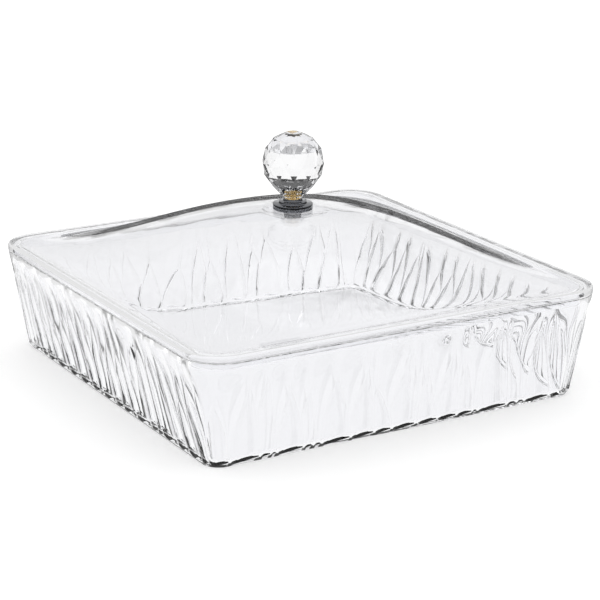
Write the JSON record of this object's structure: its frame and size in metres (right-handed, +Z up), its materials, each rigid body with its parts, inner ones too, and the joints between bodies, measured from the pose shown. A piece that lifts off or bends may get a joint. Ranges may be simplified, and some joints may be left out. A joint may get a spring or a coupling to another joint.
{
  "type": "lidded storage box",
  "caption": "Clear square storage tray with flared, bark-textured walls and a domed lift-off lid with a faceted ball knob.",
  "frame": {"origin": "on the surface the box stands on, under the middle of the box", "axes": "+Z up through the knob, X and Y square to the walls"},
  "size_m": [0.215, 0.215, 0.1176],
  "materials": {
    "acrylic": "clear polished moulded acrylic",
    "crystal": "clear cut and polished crystal glass",
    "brass": "turned brass",
    "chrome": "polished chrome plate",
    "steel": "zinc-plated steel"
  },
  "bodies": {
    "tray": {"tray": "acrylic"},
    "lid": {"lid": "acrylic", "knob_ball": "crystal", "threaded_insert": "brass", "knob_base": "chrome", "screw_washer": "steel", "knob_screw": "steel"}
  },
  "joints": [
    {"name": "lid_lift", "type": "slide", "parent": "tray", "child": "lid", "axis": [0, 0, 1], "range_m": [0, 0.12]}
  ]
}
